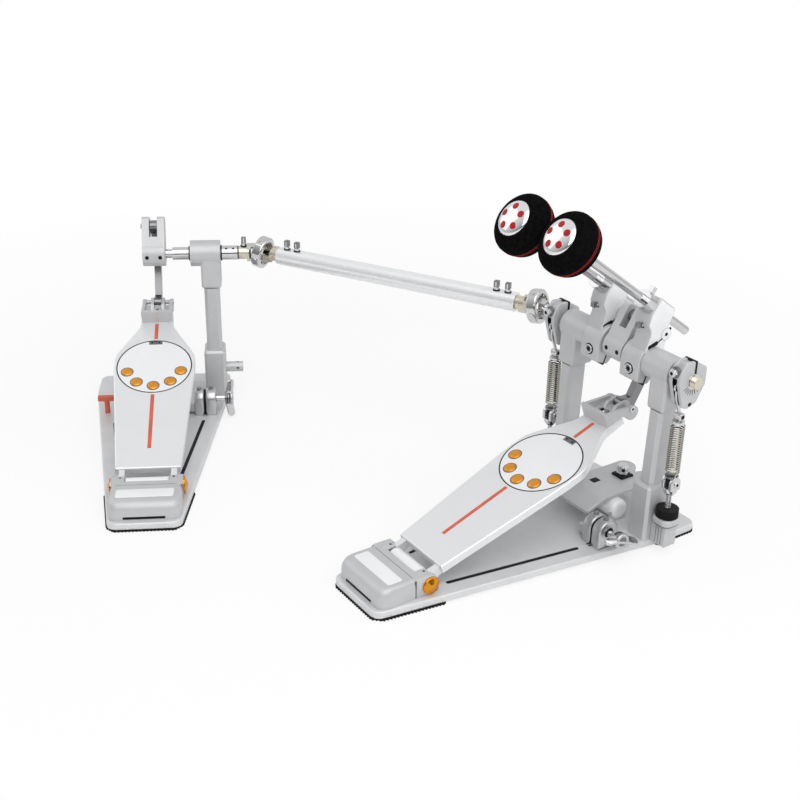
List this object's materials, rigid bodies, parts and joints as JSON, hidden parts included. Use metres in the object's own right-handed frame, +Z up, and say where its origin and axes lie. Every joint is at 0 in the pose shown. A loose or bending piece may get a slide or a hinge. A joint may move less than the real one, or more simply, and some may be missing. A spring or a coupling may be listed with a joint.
{
  "type": "double bass drum pedal",
  "caption": "Double bass drum pedal: sprung felt beaters and footboards on cast floor plates, joined by a telescopic drive shaft with universal joints; hoop clamp at the toe.",
  "frame": {"origin": "on the floor under the axle of the main pedal, on its middle plane, on the underside of its toe sole", "axes": "+X along the main axle to the player's right, +Y towards the drum, +Z up"},
  "size_m": [0.7624, 0.5717, 0.387],
  "materials": {
    "cast_silver": "satin cast aluminium",
    "bright_board": "bright polished aluminium",
    "chrome": "polished chrome plate",
    "steel": "nickel-plated steel",
    "bronze": "dull bronze",
    "rubber": "matt ribbed rubber",
    "orange": "gloss orange",
    "red": "red enamel",
    "felt": "dense wool felt",
    "cap": "pale gloss cap",
    "black_plastic": "knurled black"
  },
  "bodies": {
    "frame": {"main_base": "cast_silver", "main_soles": "rubber", "main_heel_block": "cast_silver", "main_hinge_pin": "chrome", "main_hinge_caps": "orange", "main_posts": "cast_silver", "main_housings": "cast_silver", "spring_anchors": "chrome", "main_clamp_block": "chrome", "right_spring": "steel", "left_spring": "steel"},
    "main_axle": {"main_axle": "chrome", "main_cam": "cast_silver", "right_holder": "cast_silver", "right_collar": "chrome", "right_spring_cam": "cast_silver"},
    "left_axle": {"left_axle": "chrome", "left_holder": "cast_silver", "left_collar": "chrome", "left_spring_cam": "cast_silver"},
    "drive_tube": {"drive_tube": "steel", "tube_yoke": "bronze"},
    "main_ring": {"main_joint_ring": "chrome"},
    "slave_ring": {"slave_joint_ring": "chrome"},
    "slave_shaft": {"slave_shaft": "bronze"},
    "slave_frame": {"slave_base": "cast_silver", "slave_soles": "rubber", "slave_heel_block": "cast_silver", "slave_hinge_pin": "chrome", "slave_hinge_caps": "orange", "slave_post": "cast_silver", "slave_housing": "cast_silver", "slave_clamp_block": "chrome", "drum_key": "red"},
    "slave_axle": {"slave_axle": "chrome", "slave_cam": "cast_silver"},
    "main_board": {"main_footboard": "bright_board", "main_disc": "bright_board", "main_grip_dots": "orange", "main_toe_bracket": "cast_silver"},
    "main_link": {"main_link": "steel"},
    "main_clamp": {"main_clamp_plate": "steel"},
    "main_wing": {"main_clamp_wing": "chrome"},
    "slave_board": {"slave_footboard": "bright_board", "slave_disc": "bright_board", "slave_grip_dots": "orange", "slave_toe_bracket": "cast_silver"},
    "slave_link": {"slave_link": "steel"},
    "slave_clamp": {"slave_clamp_plate": "steel"},
    "slave_wing": {"slave_clamp_wing": "chrome"},
    "right_hook": {"right_hook": "chrome"},
    "right_knob": {"right_knob": "black_plastic"},
    "right_beater": {"right_beater_rod": "chrome", "right_beater_felt": "felt", "right_beater_cap": "cap"},
    "left_hook": {"left_hook": "chrome"},
    "left_knob": {"left_knob": "black_plastic"},
    "left_beater": {"left_beater_rod": "chrome", "left_beater_felt": "felt", "left_beater_cap": "cap"}
  },
  "joints": [
    {"name": "main_pedal", "type": "hinge", "parent": "frame", "child": "main_board", "pos_m": [0, -0.2837, 0.0214], "axis": [-1, 0, 0], "range_deg": [0, 3.75], "stiffness_Nm_per_rad": 20, "springref_deg": -5.73},
    {"name": "main_link_swing", "type": "hinge", "parent": "main_board", "child": "main_link", "pos_m": [0, 0.00645, 0.13967], "axis": [-1, 0, 0], "range_deg": [0, 2.73]},
    {"name": "main_axle_turn", "type": "hinge", "parent": "frame", "child": "main_axle", "pos_m": [0, 0, 0.21], "axis": [-1, 0, 0], "range_deg": [0, 45.05], "deforming": ["right_spring"]},
    {"name": "right_hook_swing", "type": "hinge", "parent": "main_axle", "child": "right_hook", "pos_m": [0.1005, -0.015, 0.2038], "axis": [-1, 0, 0], "range_deg": [-45.05, 0]},
    {"name": "slave_reach", "type": "slide", "parent": "frame", "child": "slave_frame", "axis": [-0.8807, -0.4736, 0], "range_m": [0, 0.06]},
    {"name": "slave_pedal", "type": "hinge", "parent": "slave_frame", "child": "slave_board", "pos_m": [-0.30784, -0.44409, 0.0214], "axis": [-0.4718, -0.8817, 0], "range_deg": [0, 3.75], "stiffness_Nm_per_rad": 20, "springref_deg": -5.73},
    {"name": "slave_link_swing", "type": "hinge", "parent": "slave_board", "child": "slave_link", "pos_m": [-0.56366, -0.3072, 0.13967], "axis": [-0.4718, -0.8817, 0], "range_deg": [0, 2.73]},
    {"name": "slave_axle_turn", "type": "hinge", "parent": "slave_frame", "child": "slave_axle", "pos_m": [-0.55798, -0.31024, 0.21], "axis": [-0.4718, -0.8817, 0], "range_deg": [0, 45.05]},
    {"name": "shaft_turn", "type": "hinge", "parent": "slave_frame", "child": "slave_shaft", "pos_m": [-0.49127, -0.18557, 0.21], "axis": [-0.8807, -0.4736, 0], "range_deg": [0, 38.13]},
    {"name": "slave_ring_tilt", "type": "hinge", "parent": "slave_shaft", "child": "slave_ring", "pos_m": [-0.49127, -0.18557, 0.21], "axis": [-0.4477, 0.8325, 0.3262], "range_deg": [-24.49, 0]},
    {"name": "tube_turn", "type": "hinge", "parent": "frame", "child": "drive_tube", "pos_m": [-0.1462, 0, 0.21], "axis": [-0.8807, -0.4736, 0], "range_deg": [0, 38.13]},
    {"name": "main_ring_tilt", "type": "hinge", "parent": "drive_tube", "child": "main_ring", "pos_m": [-0.1462, 0, 0.21], "axis": [-0.4477, 0.8325, 0.3262], "range_deg": [0, 19.95]},
    {"name": "left_axle_turn", "type": "hinge", "parent": "frame", "child": "left_axle", "pos_m": [-0.06, 0, 0.21], "axis": [-1, 0, 0], "range_deg": [0, 42.84], "deforming": ["left_spring"]},
    {"name": "left_hook_swing", "type": "hinge", "parent": "left_axle", "child": "left_hook", "pos_m": [-0.1005, -0.015, 0.2038], "axis": [-1, 0, 0], "range_deg": [-42.84, 0]},
    {"name": "right_beater_reach", "type": "slide", "parent": "main_axle", "child": "right_beater", "axis": [0, -0.8111, 0.585], "range_m": [-0.012, 0.012]},
    {"name": "right_knob_turn", "type": "hinge", "parent": "frame", "child": "right_knob", "pos_m": [0.1005, -0.0065, 0.046], "axis": [0, 0, 1], "continuous": true},
    {"name": "left_beater_reach", "type": "slide", "parent": "left_axle", "child": "left_beater", "axis": [0, -0.8111, 0.585], "range_m": [-0.012, 0.012]},
    {"name": "left_knob_turn", "type": "hinge", "parent": "frame", "child": "left_knob", "pos_m": [-0.1005, -0.0065, 0.046], "axis": [0, 0, 1], "continuous": true},
    {"name": "main_wing_turn", "type": "hinge", "parent": "frame", "child": "main_wing", "pos_m": [0.086, -0.066, 0.029], "axis": [-1, 0, 0], "range_deg": [0, 270]},
    {"name": "main_clamp_rock", "type": "hinge", "parent": "frame", "child": "main_clamp", "pos_m": [0, -0.015, 0.024], "axis": [-1, 0, 0], "range_deg": [0, 6.05]},
    {"name": "slave_wing_turn", "type": "hinge", "parent": "slave_frame", "child": "slave_wing", "pos_m": [-0.45921, -0.26555, 0.029], "axis": [-0.4718, -0.8817, 0], "range_deg": [0, 270]},
    {"name": "slave_clamp_rock", "type": "hinge", "parent": "slave_frame", "child": "slave_clamp", "pos_m": [-0.54475, -0.31732, 0.024], "axis": [-0.4718, -0.8817, 0], "range_deg": [0, 6.05]}
  ],
  "couplings": [
    {"joint": "main_link_swing", "follows": "main_pedal", "ratio": 0.71438},
    {"joint": "main_axle_turn", "follows": "main_pedal", "ratio": 11.984},
    {"joint": "right_hook_swing", "follows": "main_pedal", "ratio": -11.984},
    {"joint": "slave_link_swing", "follows": "slave_pedal", "ratio": 0.71438},
    {"joint": "slave_axle_turn", "follows": "slave_pedal", "ratio": 11.984},
    {"joint": "shaft_turn", "follows": "slave_pedal", "ratio": 10.141},
    {"joint": "slave_ring_tilt", "follows": "slave_pedal", "ratio": -6.5085},
    {"joint": "tube_turn", "follows": "slave_pedal", "ratio": 10.141},
    {"joint": "main_ring_tilt", "follows": "slave_pedal", "ratio": 5.2995},
    {"joint": "left_axle_turn", "follows": "slave_pedal", "ratio": 11.396},
    {"joint": "left_hook_swing", "follows": "slave_pedal", "ratio": -11.396},
    {"joint": "main_clamp_rock", "follows": "main_wing_turn", "ratio": 0.022222},
    {"joint": "slave_clamp_rock", "follows": "slave_wing_turn", "ratio": 0.022222}
  ]
}
